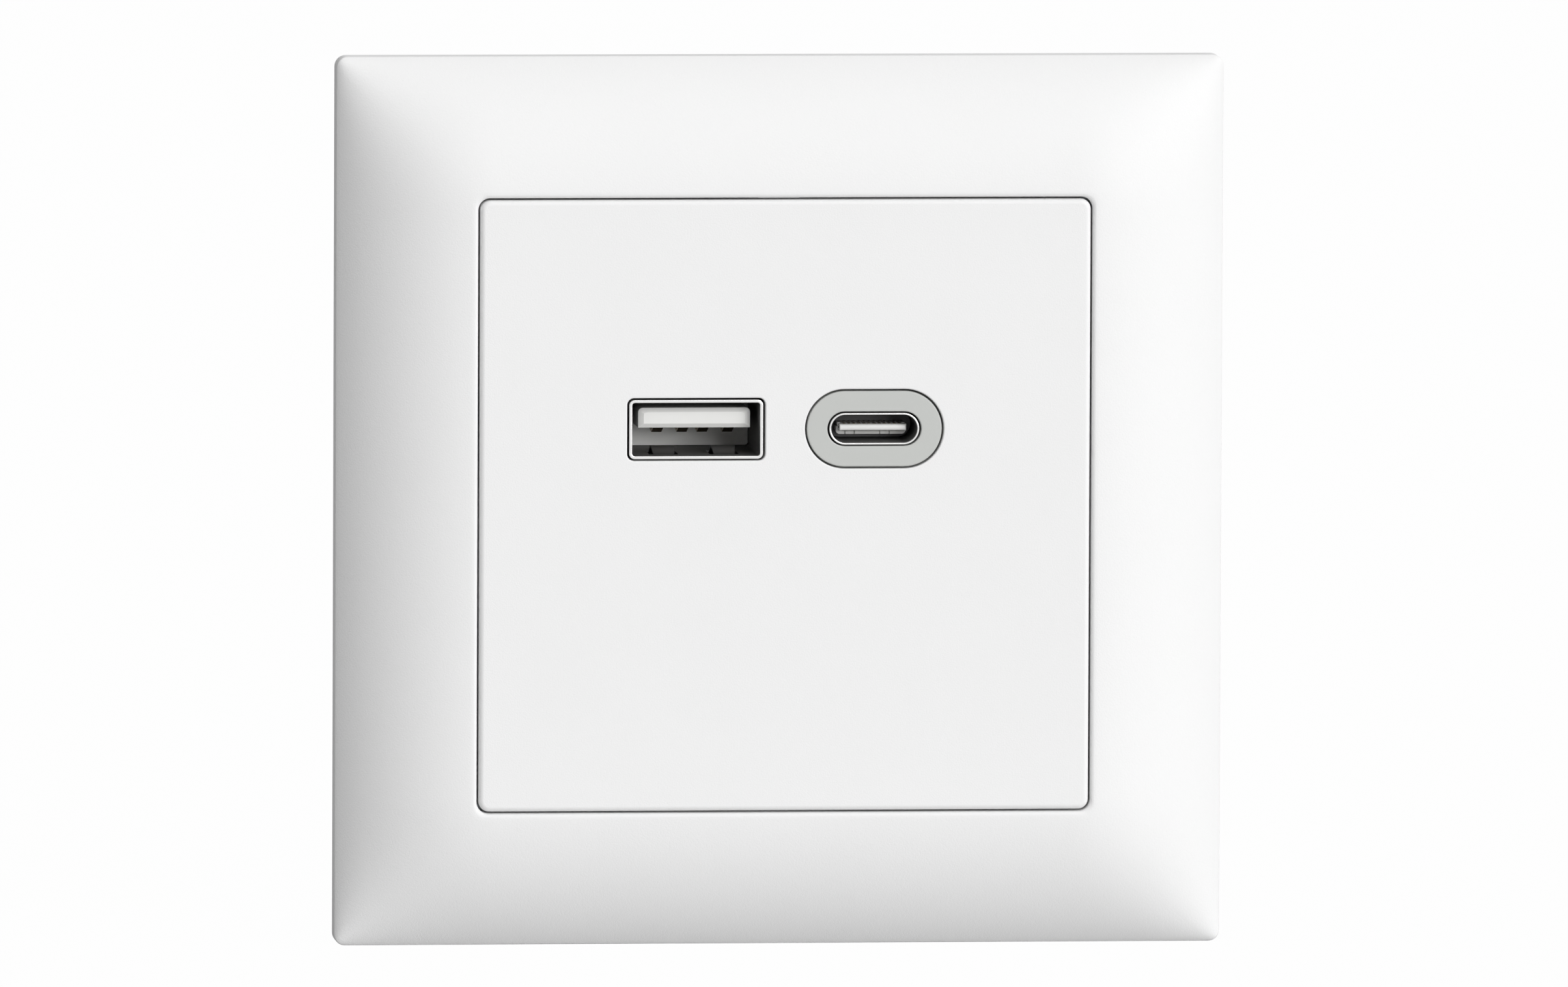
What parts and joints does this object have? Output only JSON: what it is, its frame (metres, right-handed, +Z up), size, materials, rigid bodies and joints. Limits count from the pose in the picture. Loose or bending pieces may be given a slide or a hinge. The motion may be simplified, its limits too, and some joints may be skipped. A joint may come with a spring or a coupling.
{
  "type": "usb wall socket",
  "caption": "Square flush-mounted wall socket with a pillow-shaped white frame, a flat front plate and one USB type A and one type C charging port.",
  "frame": {"origin": "centre of the socket on the wall surface, midway between the box screws", "axes": "+Z up the wall, -Y out of the wall towards the room, +X to the right seen from the front"},
  "size_m": [0.088, 0.0394, 0.088],
  "materials": {
    "moulded_white": "matte, fine-grained moulding",
    "collar_grey": "satin moulding",
    "shell_nickel": "nickel-plated sheet steel",
    "port_white": "moulded high-temperature nylon",
    "contact_gold": "gold-flashed copper alloy",
    "zinc_steel": "zinc-plated sheet steel",
    "case_grey": "moulded polycarbonate",
    "terminal_grey": "moulded nylon",
    "button_orange": "moulded nylon",
    "bar_brass": "tinned brass strip",
    "spring_steel": "stainless spring strip",
    "board_green": "solder-resist laminate",
    "ferrite": "sintered ferrite",
    "bobbin_black": "moulded phenolic",
    "coil_tape": "polyester tape over copper wire",
    "copper_wire": "enamelled copper wire",
    "sleeve_black": "shrunk plastic sleeve",
    "disc_blue": "dipped epoxy",
    "chip_black": "moulded epoxy package",
    "ceramic_tan": "sintered ceramic"
  },
  "bodies": {
    "socket": {"cover_frame": "moulded_white", "front_plate": "moulded_white", "plate_carrier": "moulded_white", "usb_c_collar": "collar_grey", "usb_a_shell": "shell_nickel", "usb_c_shell": "shell_nickel", "usb_c_mid_plate": "shell_nickel", "usb_a_insulator": "port_white", "usb_c_insulator": "port_white", "usb_a_contact_1": "contact_gold", "usb_a_contact_2": "contact_gold", "usb_a_contact_3": "contact_gold", "usb_a_contact_4": "contact_gold", "usb_c_contacts_upper": "contact_gold", "usb_c_contacts_lower": "contact_gold", "support_plate": "zinc_steel", "module_screws": "zinc_steel", "front_lid": "case_grey", "front_housing": "case_grey", "rear_housing": "case_grey", "terminal_block_live": "terminal_grey", "terminal_block_neutral": "terminal_grey", "terminal_bar_live": "bar_brass", "terminal_bar_neutral": "bar_brass", "clamp_spring_live": "spring_steel", "clamp_spring_neutral": "spring_steel", "main_board": "board_green", "transformer_core": "ferrite", "filter_choke_core": "ferrite", "transformer_bobbin": "bobbin_black", "transformer_winding": "coil_tape", "filter_choke_winding": "copper_wire", "input_capacitor_1": "sleeve_black", "input_capacitor_2": "sleeve_black", "output_capacitor_1": "sleeve_black", "output_capacitor_2": "sleeve_black", "input_fuse": "sleeve_black", "surge_varistor": "disc_blue", "safety_capacitor": "disc_blue", "bridge_rectifier": "chip_black", "primary_controller": "chip_black", "sync_rectifier": "chip_black", "optocoupler": "chip_black", "port_controller": "chip_black", "output_inductor": "chip_black", "chip_capacitors": "ceramic_tan"},
    "live_release": {"release_button_live": "button_orange"},
    "neutral_release": {"release_button_neutral": "button_orange"}
  },
  "joints": [
    {"name": "live_release_press", "type": "slide", "parent": "socket", "child": "live_release", "axis": [0, -1, 0], "range_m": [0, 0.0015], "stiffness_N_per_m": 1500, "springref_m": -0.0005, "deforming": ["clamp_spring_live"]},
    {"name": "neutral_release_press", "type": "slide", "parent": "socket", "child": "neutral_release", "axis": [0, -1, 0], "range_m": [0, 0.0015], "stiffness_N_per_m": 1500, "springref_m": -0.0005, "deforming": ["clamp_spring_neutral"]}
  ]
}
